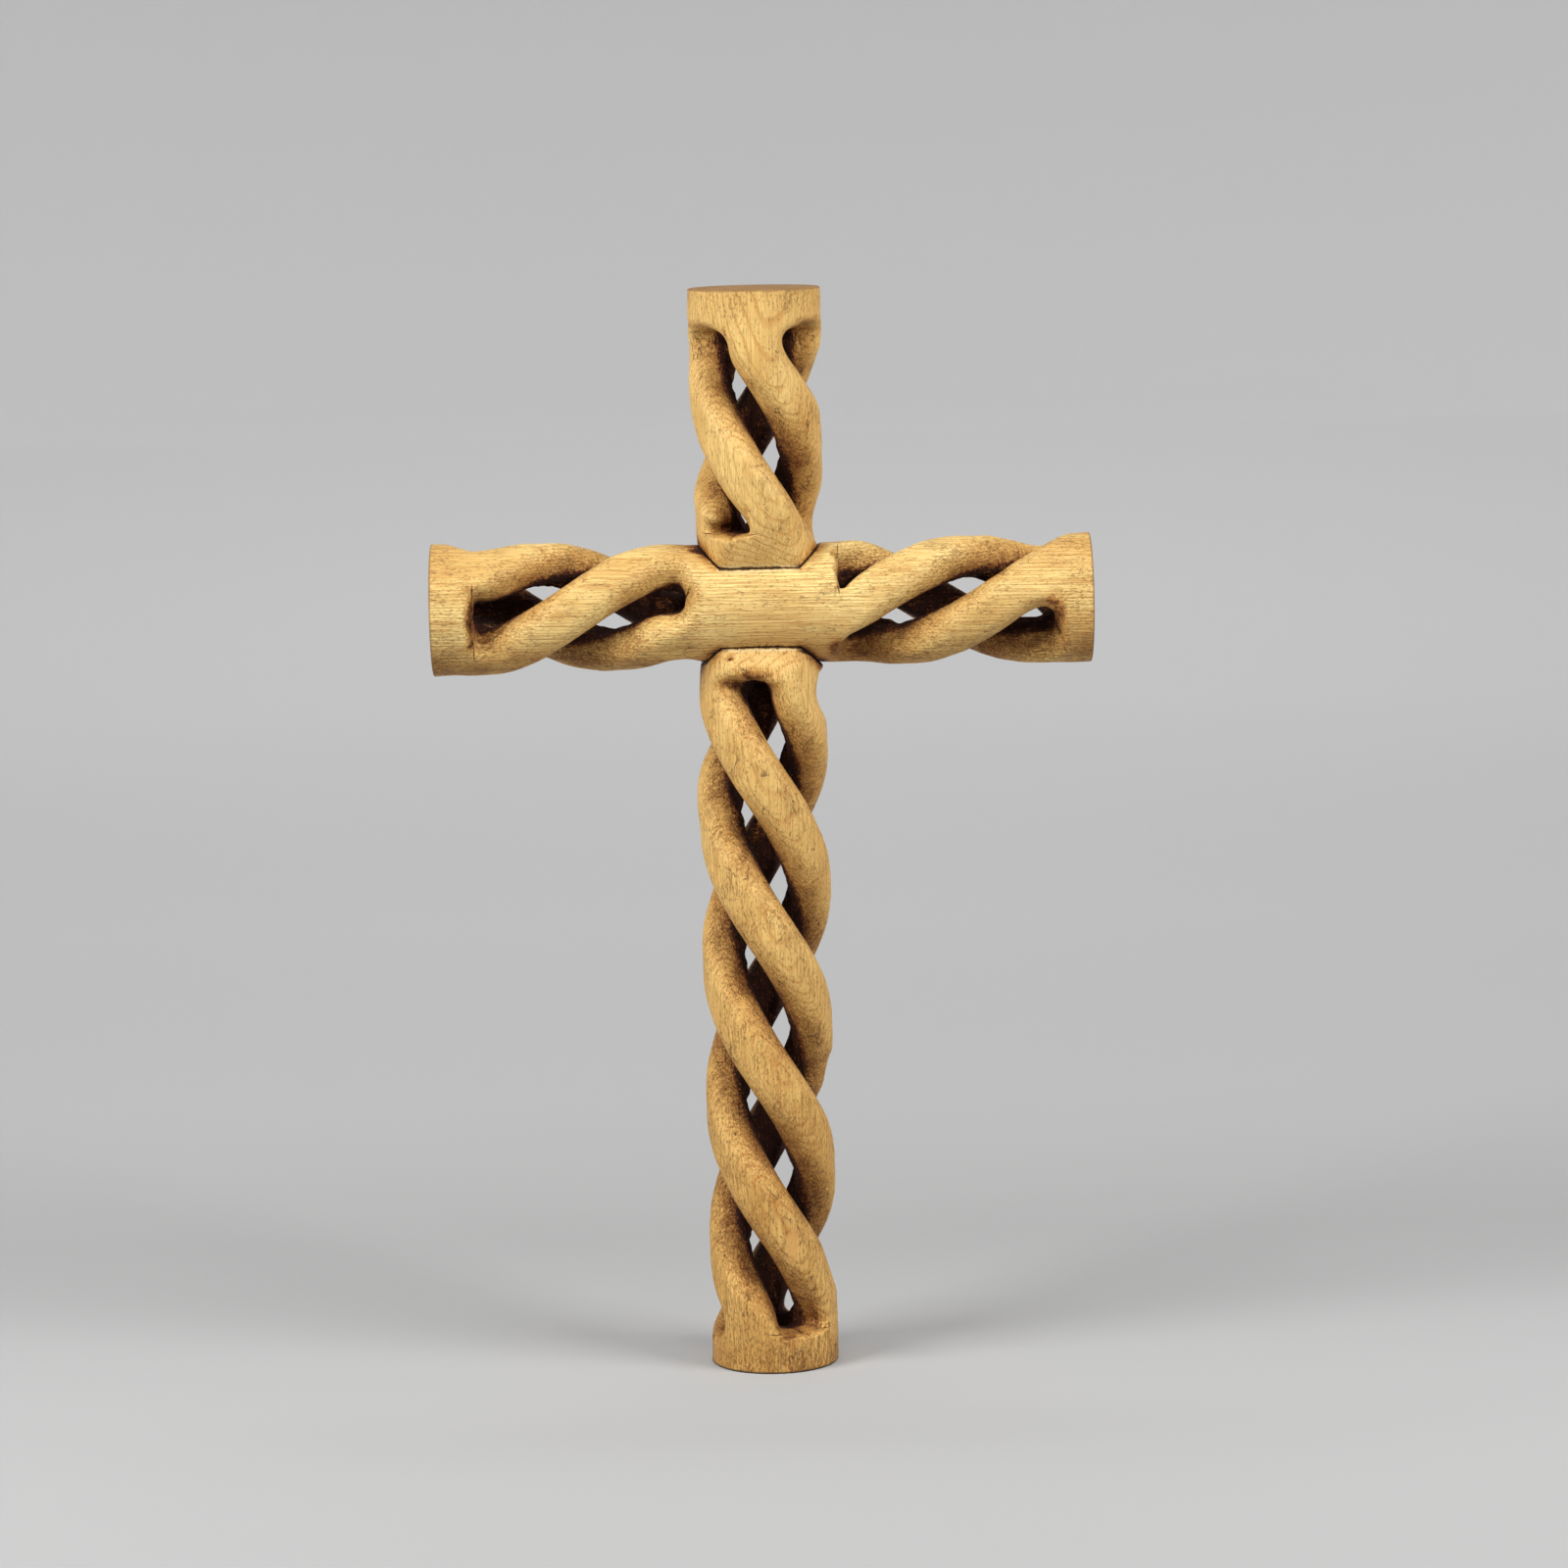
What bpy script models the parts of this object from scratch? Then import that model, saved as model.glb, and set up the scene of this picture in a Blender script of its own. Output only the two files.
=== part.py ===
"""A carved wood cross of open barley twist, standing on the foot of its upright.

Two round staves are halved into each other, each with a plain middle. Along every limb the stave is
hollowed and pierced by three slots that wind round it, which leaves three strands in a left-handed
twist between the middle and a solid collar at the end. Metres, +Z up, the foot's centre at the
origin, the crossbar along X, the front facing -Y.
"""

import math

import bmesh
import bpy
import numpy as np

# The upright, measured from the crossbar's axis
SHAFT_LENGTH = 0.2843
HEAD_LENGTH = 0.1157
FOOT_DIAMETER = 0.0472
SHAFT_DIAMETER = 0.0478
HEAD_DIAMETER = 0.0483
UPRIGHT_WAIST = 0.0045
SHAFT_PITCH = 0.1608
HEAD_PITCH = 0.1555
UPRIGHT_TURN = 35.3
UPRIGHT_GAP = 19.3

# The crossbar, measured from the upright's axis
LEFT_LENGTH = 0.1202
RIGHT_LENGTH = 0.1213
LEFT_DIAMETER = 0.0486
BAR_DIAMETER = 0.0456
RIGHT_DIAMETER = 0.0476
BAR_WAIST = 0.0030
LEFT_PITCH = 0.1550
RIGHT_PITCH = 0.1560
BAR_TURN = 19.6
BAR_GAP = 20.0

# Where the openwork starts and stops: the solid collars, and what stays plain past the other stave
COLLAR = 0.0150
PLAIN_MARGIN = 0.0055
RIGHT_MARGIN = 0.0080
WAIST_REACH = 0.0600

# The strands: radii are shares of the stave's radius, turns and gaps are degrees round it
STRANDS = 3
BORE = 0.42
EDGE_RADIUS = 0.555
STRAND_ROUNDING = 0.0088
TIP_ROUNDING = 0.0098
BORE_ROUNDING = 0.0020
ROUNDNESS = 1.95
TIP_LENGTH = 0.0110
BORE_TAPER = 0.0150
BORE_END = 0.0023
EASED_RIM = 0.0006

# The halved joint: flat shoulders up to the seams, then mitres out to the corners
SEAM_ANGLE = 43.0
JOINT_GAP = 0.0003
PARED_SLOPE = 0.50

# How finely the carving is cut
OUTER_COLUMNS = 4
INNER_COLUMNS = 2
ROW_STEP = 0.0065
TIP_ROWS = 4
WELD = 1e-5

SECTOR = math.pi / STRANDS


class Limb:
    """The openwork between a collar and the plain middle, from start to end along its stave."""

    def __init__(self, start, end, gap):
        self.start = start
        self.end = end
        self.gap = math.radians(gap)

    def opened(self, s):
        """How far the openwork has opened at s, from 0 at a slot's tips to 1 past them."""
        return np.clip(np.minimum(s - self.start, self.end - s) / TIP_LENGTH, 0.0, 1.0)

    def half_gap(self, s):
        """Half the angle that a slot opens at s, closing to a round tip at each end."""
        return self.gap * np.sqrt(1.0 - (1.0 - self.opened(s)) ** 2)

    def bore(self, s):
        """The hollow's radius as a share of the stave's, drawing in towards its two ends."""
        deep = np.minimum(s - self.start, self.end - s) + BORE_END
        t = np.clip(deep / BORE_TAPER, 0.0, 1.0)
        return BORE * np.sqrt(1.0 - (1.0 - t) ** 2)

    def rows(self):
        """Places along the stave, closer together round the slots' tips."""
        ease = 1.0 - np.cos(np.linspace(0.0, math.pi / 2, TIP_ROWS + 1))
        opening = self.start + TIP_LENGTH * ease
        closing = self.end - TIP_LENGTH * ease[::-1]
        count = max(2, round((closing[0] - opening[-1]) / ROW_STEP) + 1)
        return np.concatenate([opening, np.linspace(opening[-1], closing[0], count)[1:-1], closing])

    def edge(self):
        """The closed line of a slot's edge, as angles from its centre line and places."""
        s = self.rows()
        gap = self.half_gap(s)
        return np.concatenate([-gap, gap[::-1]]), np.concatenate([s, s[::-1]])


class Stave:
    """A round stave along its own +Z; angles go round it from its front towards +X."""

    def __init__(self, before, after, diameters, waist, pitches, turn):
        self.joint = before
        self.length = before + after
        self.diameters = diameters
        self.waist = waist
        self.pitches = pitches
        self.first_slot = math.radians(turn)
        self.limbs = []

    def pierce(self, before, after, gap):
        """Open both limbs, leaving the stave plain before and after the joint."""
        low = Limb(COLLAR, self.joint - before, gap)
        high = Limb(self.joint + after, self.length - COLLAR, gap)
        self.limbs = [low, high]

    def radius(self, s):
        """The turned radius, drawn in a little towards the joint."""
        full = np.interp(s, [0.0, self.joint, self.length], self.diameters)
        near = np.clip(np.abs(s - self.joint) / WAIST_REACH, 0.0, 1.0)
        return (full - self.waist * (1.0 + np.cos(math.pi * near)) / 2) / 2

    def slot(self, s):
        """The angle of the first slot's centre line, which falls as it climbs: a left-handed twist."""
        pitch = np.where(s < self.joint, self.pitches[0], self.pitches[1])
        return self.first_slot - 2 * math.pi * (s - self.joint) / pitch

    def from_edge(self, limb, angle, s):
        """How far a point of the surface lies from the slot's edge, measured round the stave."""
        edge_angle, edge_s = limb.edge()
        flat = self.radius(self.joint)
        edge = np.stack([(edge_angle + self.slot(edge_s)) * flat, edge_s], axis=-1)
        point = np.stack([(angle + self.slot(s)) * flat, s], axis=-1)[..., None, :] - edge[:-1]
        run = np.diff(edge, axis=0)
        length = np.maximum((run ** 2).sum(axis=-1), WELD ** 2)
        share = np.clip((point * run).sum(axis=-1) / length, 0.0, 1.0)
        return np.linalg.norm(point - share[..., None] * run, axis=-1).min(axis=-1)

    def outside(self, angle, s):
        """The carved radius: full on the strands' backs, rolling over to the slots' edges."""
        full = self.radius(s)
        carved = full
        for limb in self.limbs:
            width = TIP_ROUNDING + (STRAND_ROUNDING - TIP_ROUNDING) * limb.opened(s)
            t = np.clip(self.from_edge(limb, angle, s) / width, 0.0, 1.0)
            fall = 1.0 - (1.0 - (1.0 - t) ** ROUNDNESS) ** (1.0 / ROUNDNESS)
            carved = np.minimum(carved, full * (1.0 - (1.0 - EDGE_RADIUS) * fall))
        rim = np.clip(np.minimum(s, self.length - s) / EASED_RIM, 0.0, 1.0)
        return carved - EASED_RIM * (1.0 - rim)

    def inside(self, limb, angle, s):
        """The hollow's radius, flaring to the slots' edges."""
        t = np.clip(self.from_edge(limb, angle, s) / BORE_ROUNDING, 0.0, 1.0)
        rise = 1.0 - np.sqrt(1.0 - (1.0 - t) ** 2)
        bore = limb.bore(s)
        return self.radius(s) * (bore + (EDGE_RADIUS - bore) * rise)

    def rows(self):
        """Every row of the outer surface, from the start's face to the end's."""
        lead = np.array([1.0, 0.55, 0.25]) * TIP_ROUNDING
        low, high = self.limbs
        middle = np.linspace(low.end + TIP_ROUNDING, high.start - TIP_ROUNDING, 7)[1:-1]
        return np.concatenate([
            [0.0, EASED_RIM], low.start - lead, low.rows(), low.end + lead[::-1], middle,
            high.start - lead, high.rows(), high.end + lead[::-1], [self.length - EASED_RIM, self.length],
        ])


def pared(radius, angle, beyond, flush, side):
    """Beside the joint a stave's face is pared down until it lies flush with the other stave."""
    depth = flush + PARED_SLOPE * np.maximum(beyond, 0.0)
    facing = np.maximum(side * np.cos(angle), 0.0)
    return (radius ** -16.0 + (facing / depth) ** 16.0) ** (-1.0 / 16.0)


def place(angle, radius, s):
    """Points of the surface, from their angles, radii and places along the stave."""
    return np.stack([radius * np.sin(angle), -radius * np.cos(angle), s], axis=-1)


def half_sectors(gap, columns):
    """Angles on both sides of a slot, from one strand's middle to its edge and on to the next's."""
    share = np.sin(np.linspace(0.0, math.pi / 2, columns + 1))
    left = -SECTOR + (SECTOR - gap[:, None]) * share
    return [left, -left[:, ::-1]]


def bore_end(rim, direction):
    """The hollow's round bottom: its last row drawn in to the axis."""
    depths = BORE_END * np.array([0.0, 0.45, 0.85, 1.0])
    taper = np.sqrt(1.0 - (1.0 - (BORE_END - depths) / BORE_TAPER) ** 2)
    rings = [rim * [share, share, 1.0] + [0.0, 0.0, direction * depth]
             for share, depth in zip(taper / taper[0], depths)]
    return np.stack(rings)


def add_grid(bm, points, inward):
    """A sheet of quads through a grid of points."""
    verts = [[bm.verts.new(p) for p in row] for row in points.tolist()]
    for low, high in zip(verts, verts[1:]):
        for i in range(len(low) - 1):
            quad = (low[i], low[i + 1], high[i + 1], high[i])
            bm.faces.new(quad[::-1] if inward else quad)


def carve(name, stave, other, shoulder, side):
    """The stave's mesh: an outer skin and a hollowed inner skin that meet along the slots' edges."""
    bm = bmesh.new()
    flush = math.sqrt(other.radius(other.joint) ** 2 - shoulder ** 2)
    sheets = [(None, stave.rows(), OUTER_COLUMNS)]
    sheets += [(limb, limb.rows(), INNER_COLUMNS) for limb in stave.limbs]
    for limb, rows, columns in sheets:
        gap = sum(each.half_gap(rows) for each in stave.limbs)
        for k in range(STRANDS):
            for half in half_sectors(gap, columns):
                s = np.repeat(rows[:, None], half.shape[1], axis=1)
                angle = half + stave.slot(s) + 2 * math.pi * k / STRANDS
                if limb:
                    points = place(angle, stave.inside(limb, half, s), s)
                    add_grid(bm, bore_end(points[0], -1.0), inward=False)
                    add_grid(bm, bore_end(points[-1], 1.0), inward=True)
                else:
                    beyond = np.abs(s - stave.joint) - shoulder
                    points = place(angle, pared(stave.outside(half, s), angle, beyond, flush, side), s)
                add_grid(bm, points, inward=bool(limb))
    bmesh.ops.remove_doubles(bm, verts=bm.verts, dist=WELD)
    bmesh.ops.holes_fill(bm, edges=[edge for edge in bm.edges if edge.is_boundary])
    bmesh.ops.recalc_face_normals(bm, faces=bm.faces)
    mesh = bpy.data.meshes.new(name)
    bm.to_mesh(mesh)
    bm.free()
    mesh.shade_smooth()
    mesh.set_sharp_from_angle(angle=math.radians(40))
    return mesh


def wood(name, colour, roughness):
    """A waxed hardwood finish."""
    material = bpy.data.materials.new(name)
    material.use_nodes = True
    shader = material.node_tree.nodes["Principled BSDF"]
    shader.inputs["Base Color"].default_value = (*colour, 1.0)
    shader.inputs["Roughness"].default_value = roughness
    shader.inputs["Metallic"].default_value = 0.0
    return material


def housing(name, along, across, lap, reach):
    """The space that one stave fills in the joint, which is cut from the other stave.

    Its plan is an hourglass along X: a straight waist, then mitres that open out to the reach. The
    waist is cut from the front only as deep as the lap; the two ends are cut right through.
    """
    flare = reach - along + across
    plan = [(-reach, -flare), (-along, -across), (along, -across), (reach, -flare),
            (reach, flare), (along, across), (-along, across), (-reach, flare)]
    sides = len(plan)
    left, waist, right = (0, 1, 6, 7), (1, 2, 5, 6), (2, 3, 4, 5)
    faces = [left, waist, right, tuple(i + sides for i in waist)]
    faces += [(i, (i + 1) % sides, (i + 1) % sides + sides, i + sides) for i in range(sides)]
    for end in (left, right):
        faces.append(tuple(i + 2 * sides for i in end))
        for i, j in zip(end, end[1:] + end[:1]):
            faces.append((i + sides, j + sides, j + 2 * sides, i + 2 * sides))
    bm = bmesh.new()
    corners = [bm.verts.new((x, y, z)) for y in (-reach, lap, reach) for x, z in plan]
    for face in faces:
        bm.faces.new([corners[i] for i in face])
    bmesh.ops.recalc_face_normals(bm, faces=bm.faces)
    mesh = bpy.data.meshes.new(name)
    bm.to_mesh(mesh)
    bm.free()
    cutter = bpy.data.objects.new(name, mesh)
    bpy.context.scene.collection.objects.link(cutter)
    cutter.location.z = SHAFT_LENGTH
    cutter.hide_render = True
    cutter.display_type = "WIRE"
    return cutter


def add_stave(name, mesh, material, cutter):
    """A stave in the scene, with its half of the joint cut out."""
    stave = bpy.data.objects.new(name, mesh)
    bpy.context.scene.collection.objects.link(stave)
    mesh.materials.append(material)
    halving = stave.modifiers.new("Halving", "BOOLEAN")
    halving.operation = "DIFFERENCE"
    halving.solver = "EXACT"
    halving.object = cutter
    return stave


for old in list(bpy.data.objects):
    bpy.data.objects.remove(old)

upright = Stave(
    SHAFT_LENGTH,
    HEAD_LENGTH,
    [FOOT_DIAMETER, SHAFT_DIAMETER, HEAD_DIAMETER],
    UPRIGHT_WAIST,
    [SHAFT_PITCH, HEAD_PITCH],
    UPRIGHT_TURN,
)
crossbar = Stave(
    LEFT_LENGTH,
    RIGHT_LENGTH,
    [LEFT_DIAMETER, BAR_DIAMETER, RIGHT_DIAMETER],
    BAR_WAIST,
    [LEFT_PITCH, RIGHT_PITCH],
    BAR_TURN,
)
upright_radius = upright.radius(upright.joint)
bar_radius = crossbar.radius(crossbar.joint)
upright.pierce(bar_radius + PLAIN_MARGIN, bar_radius + PLAIN_MARGIN, UPRIGHT_GAP)
crossbar.pierce(upright_radius + PLAIN_MARGIN, upright_radius + RIGHT_MARGIN, BAR_GAP)

shoulder = min(upright_radius, bar_radius) * math.sin(math.radians(SEAM_ANGLE))
reach = max(SHAFT_DIAMETER, BAR_DIAMETER)
bar_space = housing("bar_space", shoulder, shoulder, 0.0, reach)
upright_space = housing("upright_space", shoulder - JOINT_GAP, shoulder + JOINT_GAP, JOINT_GAP, reach)
upright_space.rotation_euler = (0.0, math.pi / 2, math.pi)

add_stave(
    "upright",
    carve("upright", upright, crossbar, shoulder, 1.0),
    wood("upright_wood", (0.55, 0.36, 0.16), 0.5),
    bar_space,
)
bar = add_stave(
    "crossbar",
    carve("crossbar", crossbar, upright, shoulder, -1.0),
    wood("crossbar_wood", (0.60, 0.40, 0.18), 0.5),
    upright_space,
)
bar.location = (-LEFT_LENGTH, 0.0, SHAFT_LENGTH)
bar.rotation_euler.y = math.pi / 2
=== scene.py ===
import math

import bmesh
import bpy
import numpy as np
from mathutils import Matrix, Vector
from mathutils.bvhtree import BVHTree


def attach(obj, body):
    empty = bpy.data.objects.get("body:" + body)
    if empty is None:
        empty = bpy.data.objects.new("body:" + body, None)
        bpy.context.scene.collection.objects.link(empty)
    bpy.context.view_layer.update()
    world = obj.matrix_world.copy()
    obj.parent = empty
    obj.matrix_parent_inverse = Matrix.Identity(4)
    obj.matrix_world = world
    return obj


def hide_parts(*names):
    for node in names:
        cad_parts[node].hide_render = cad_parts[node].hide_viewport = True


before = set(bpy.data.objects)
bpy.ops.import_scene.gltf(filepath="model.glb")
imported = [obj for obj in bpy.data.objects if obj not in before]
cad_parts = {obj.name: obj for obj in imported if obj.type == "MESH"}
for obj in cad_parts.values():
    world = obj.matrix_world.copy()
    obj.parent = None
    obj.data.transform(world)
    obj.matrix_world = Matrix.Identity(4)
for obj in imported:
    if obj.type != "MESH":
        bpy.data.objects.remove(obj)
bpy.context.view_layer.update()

# Camera
# A long lens a little above the middle of the cross. It is rolled by a degree, because the cross
# leans that much in the picture.
EYE = Vector((-0.0094, -1.8792, 0.4792))
PITCH, YAW, ROLL = (math.radians(a) for a in (7.935, 0.515, -1.145))
LENS = 118.08

ahead = Vector((math.sin(YAW) * math.cos(PITCH), math.cos(YAW) * math.cos(PITCH), -math.sin(PITCH)))
level = Vector((math.cos(YAW), -math.sin(YAW), 0.0))
upward = level.cross(ahead)
across = math.cos(ROLL) * level + math.sin(ROLL) * upward
upward = math.cos(ROLL) * upward - math.sin(ROLL) * level
lens = bpy.data.cameras.new("camera")
lens.lens = LENS
lens.sensor_width = 36.0
lens.clip_start = 0.1
lens.clip_end = 60.0
camera = bpy.data.objects.new("camera", lens)
camera.matrix_world = Matrix.Translation(EYE) @ Matrix((across, upward, -ahead)).transposed().to_4x4()
bpy.context.scene.collection.objects.link(camera)
bpy.context.scene.camera = camera


# Studio
# A pale floor that sweeps up into a round backdrop far behind, with its own lamp. A very soft lamp
# shines from the front, and a soft box stands high on each side, so that the head is lit best.
FLOOR_RADIUS = 5.0
SWEEP = 2.0
WALL = 5.0
SKY = 0.06
LAMP = 0.95
LAMP_SPREAD = 50
LAMP_FROM = (-0.03, -1.0, 0.88)
# Each soft box is its name, watts, size, place, and the point that it is aimed at.
SOFT_BOXES = [
    ("left_box", 16.5, 0.7, (-0.95, -0.62, 1.0), (0.0, 0.0, 0.28)),
    ("right_box", 14.5, 0.7, (0.95, -0.62, 1.0), (0.0, 0.0, 0.28)),
    ("backdrop_lamp", 91.5, 3.0, (0.0, 1.5, 4.0), (0.0, 7.0, 0.8)),
]
# How far behind the cross, and how pale the paper is there: painted light and shade for how the lamps light
# the floor and backdrop, darker near the cross and at the far wall, paler between.
PAINTED_FLOOR_SHADING = [
    (-0.40, 0.47), (-0.10, 0.49), (0.0, 0.49), (0.10, 0.47), (0.20, 0.47),
    (0.5, 0.55), (1.0, 0.64), (2.0, 0.73), (5.0, 0.82), (7.0, 0.58),
]


class Tone:
    """A value or colour on its way through a material's nodes."""

    def __init__(self, tree, socket=None):
        self.tree = tree
        self.socket = socket

    def add(self, kind, settings=None, sockets=None, output=0):
        """A node of a kind, with its settings and then the values or links of its sockets.

        The setting called stops is a colour ramp's, as (place, colour) pairs.
        """
        node = self.tree.nodes.new(kind)
        for name, value in (settings or {}).items():
            if name == "stops":
                while len(node.color_ramp.elements) < len(value):
                    node.color_ramp.elements.new(1.0)
                for element, (place, colour) in zip(node.color_ramp.elements, value):
                    element.position = place
                    element.color = colour
            else:
                setattr(node, name, value)
        for name, value in (sockets or {}).items():
            if isinstance(value, Tone):
                self.tree.links.new(value.socket, node.inputs[name])
            else:
                node.inputs[name].default_value = value
        return Tone(self.tree, node.outputs[output]) if node.outputs else None

    def math(self, operation, *values):
        """One sum on values, such as SQRT or FRACT."""
        return self.add("ShaderNodeMath", {"operation": operation}, dict(enumerate(values)))

    def __add__(self, other):
        return self.math("ADD", self, other)

    def __sub__(self, other):
        return self.math("SUBTRACT", self, other)

    def __rsub__(self, other):
        return self.math("SUBTRACT", other, self)

    def __mul__(self, other):
        return self.math("MULTIPLY", self, other)

    __radd__ = __add__
    __rmul__ = __mul__

    def bigger(self, other):
        return self.math("MAXIMUM", self, other)

    def smaller(self, other):
        return self.math("MINIMUM", self, other)

    def size(self):
        """This value without its sign."""
        return self.math("ABSOLUTE", self)

    def step(self, low, high):
        """0 at low, 1 at high, and a smooth rise between them."""
        return self.add(
            "ShaderNodeMapRange",
            {"interpolation_type": "SMOOTHSTEP"},
            {"Value": self, "From Min": low, "From Max": high},
        )

    def blend(self, colour, other, share):
        """One colour turning into another as the share goes from 0 to 1.

        A Mix node's own colours are its sockets 6 and 7, and its colour comes out at 2.
        """
        return self.add("ShaderNodeMix", {"data_type": "RGBA"}, {0: share, 6: colour, 7: other}, 2)

    def ramp(self, stops):
        """A colour that changes with this value, through stops between 0 and 1."""
        return self.add("ShaderNodeValToRGB", {"stops": stops}, {0: self})

    def scaled(self, other):
        """This place or colour, with each of its three parts multiplied."""
        return self.add("ShaderNodeVectorMath", {"operation": "MULTIPLY"}, {0: self, 1: other})

    def noise(self, waves, detail, roughness=0.5):
        """Smooth noise round 0.5 at this place, with so many waves to the metre along each axis."""
        sockets = {"Vector": self.scaled(waves), "Scale": 1.0, "Detail": detail, "Roughness": roughness}
        return self.add("ShaderNodeTexNoise", None, sockets)

    def axes(self):
        """The three parts of this place."""
        node = self.add("ShaderNodeSeparateXYZ", None, {0: self}).socket.node
        return [Tone(self.tree, output) for output in node.outputs]


def new_material(name):
    """An empty material with its output, and a place to start its nodes from."""
    material = bpy.data.materials.new(name)
    material.use_nodes = True
    material.node_tree.nodes.clear()
    return material, Tone(material.node_tree)


paper, start = new_material("studio_paper")
depth = start.add("ShaderNodeTexCoord", None, None, "Object").axes()[1]
near = PAINTED_FLOOR_SHADING[0][0]
far = PAINTED_FLOOR_SHADING[-1][0]
stops = [((y - near) / (far - near), (tone, tone, tone, 1.0)) for y, tone in PAINTED_FLOOR_SHADING]
# The paper's paleness follows the depth: painted light and shade of the studio.
tone = ((depth - near) * (1.0 / (far - near))).ramp(stops)
cover = start.add("ShaderNodeBsdfDiffuse", None, {"Color": tone})
start.add("ShaderNodeOutputMaterial", None, {"Surface": cover})

profile = [(0.0, 0.0), (0.05, 0.0), (0.3, 0.0), (1.0, 0.0), (FLOOR_RADIUS, 0.0)]
profile += [
    (FLOOR_RADIUS + SWEEP * math.sin(a), SWEEP * (1.0 - math.cos(a)))
    for a in np.linspace(0.0, math.pi / 2, 13)[1:]
]
profile.append((FLOOR_RADIUS + SWEEP, WALL))
bm = bmesh.new()
line = [bm.verts.new((r, 0.0, z)) for r, z in profile]
edges = [bm.edges.new(pair) for pair in zip(line, line[1:])]
bmesh.ops.spin(
    bm, geom=line + edges, axis=(0, 0, 1), cent=(0, 0, 0), angle=2 * math.pi, steps=96, use_duplicate=False
)
bmesh.ops.remove_doubles(bm, verts=bm.verts, dist=1e-5)
bmesh.ops.recalc_face_normals(bm, faces=bm.faces)
mesh = bpy.data.meshes.new("studio_floor")
bm.to_mesh(mesh)
bm.free()
mesh.shade_smooth()
mesh.materials.append(paper)
floor = bpy.data.objects.new("studio_floor", mesh)
bpy.context.scene.collection.objects.link(floor)

world = bpy.data.worlds.new("sky")
world.use_nodes = True
world.node_tree.nodes["Background"].inputs["Color"].default_value = (1.0, 1.0, 1.0, 1.0)
world.node_tree.nodes["Background"].inputs["Strength"].default_value = SKY
bpy.context.scene.world = world
lamp = bpy.data.lights.new("soft_lamp", "SUN")
lamp.energy = LAMP
lamp.angle = math.radians(LAMP_SPREAD)
front = bpy.data.objects.new("soft_lamp", lamp)
front.rotation_euler = Vector(LAMP_FROM).to_track_quat("Z", "Y").to_euler()
bpy.context.scene.collection.objects.link(front)
for name, watts, width, stand, aim in SOFT_BOXES:
    lamp = bpy.data.lights.new(name, "AREA")
    lamp.energy = watts
    lamp.size = width
    box = bpy.data.objects.new(name, lamp)
    box.location = stand
    box.rotation_euler = (box.location - Vector(aim)).to_track_quat("Z", "Y").to_euler()
    box.visible_camera = False
    bpy.context.scene.collection.objects.link(box)
bpy.context.scene.view_settings.view_transform = "Standard"


# Upright
# One turned stave of pale hardwood, bored and pierced by hand into three winding strands between
# a solid collar at each end and a plain middle. It is notched at its front for the crossbar.
SHAFT_LENGTH = 0.2843
HEAD_LENGTH = 0.1157
UPRIGHT_DIAMETERS = [0.0472, 0.0478, 0.0483]
UPRIGHT_WAIST = 0.0045
UPRIGHT_PITCHES = [0.1608, 0.1555]
UPRIGHT_TURN = 35.3
UPRIGHT_GAP = 19.3
UPRIGHT_PLAIN = 0.0268
UPRIGHT_WOOD = [(0.73, 0.455, 0.138, 1.0), (0.89, 0.605, 0.212, 1.0)]
UPRIGHT_PITH = (-0.022, 0.085)
UPRIGHT_RING = 0.0013

# Old stain and wax as they soak in, with painted shade in the hollows and on the strands' flanks: what each
# amount multiplies the wood's colour by.
STAIN_AND_SHADE = [
    (0.0, (1.0, 1.0, 1.0, 1.0)),
    (0.3, (0.87, 0.76, 0.62, 1.0)),
    (0.6, (0.58, 0.40, 0.25, 1.0)),
    (0.8, (0.27, 0.115, 0.040, 1.0)),
    (1.0, (0.055, 0.014, 0.002, 1.0)),
]

LATE_WOOD = (0.54, 0.21, 0.032, 1.0)
FIBRES = (0.44, 0.20, 0.045, 1.0)
LONG_LINES = (0.46, 0.20, 0.040, 1.0)
DULL_PATCHES = (0.50, 0.26, 0.07, 1.0)
PORES = (0.17, 0.070, 0.018, 1.0)
RUBBED_BARE = (0.72, 0.37, 0.105, 1.0)
CRACKS = (0.07, 0.030, 0.010, 1.0)
GLUE = (0.84, 0.66, 0.36, 1.0)
SEAM_DIRT = (0.040, 0.018, 0.008, 1.0)
END_GRAIN = (0.27, 0.13, 0.045, 1.0)
# A painted contact shadow along the bottom of the foot.
FOOT_SHADOW = (0.030, 0.014, 0.006, 1.0)

# Sizes that both staves share, in metres. BORE and EDGE_RADIUS, where the outer and the inner skin
# meet, are shares of the stave's radius. JOINT_RADIUS is the crossbar's, where it crosses.
COLLAR = 0.0150
STRANDS = 3
SECTOR = math.pi / STRANDS
BORE = 0.42
EDGE_RADIUS = 0.555
STRAND_ROUNDING = 0.0088
TIP_ROUNDING = 0.0098
BORE_ROUNDING = 0.0020
ROUNDNESS = 1.95
TIP_LENGTH = 0.0110
STAND_IN_RISE = 0.006
STAND_IN_START = 0.009
STAND_IN_FALL = 0.012
FLARE_REACH = 0.016
BORE_TAPER = 0.0150
BORE_END = 0.0023
WAIST_REACH = 0.0600
RIM = 0.0006
SHOULDER = 0.01453
JOINT_RADIUS = 0.0213
PARED_SLOPE = 0.50
PARED_CREASE = 16.0

# Unevenness as (depth, size of its waves): of the worn outside, and of the gouged bore. It fades
# out towards the joint and the ends.
WORN = [(0.00022, 0.030), (0.00010, 0.010)]
GOUGED = [(0.0006, 0.010), (0.0003, 0.004)]
RIPPLE_WAVES = 7
RIPPLE_HEIGHT = 3.2
JOINT_FADE = 0.012
END_FADE = 0.004

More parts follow.
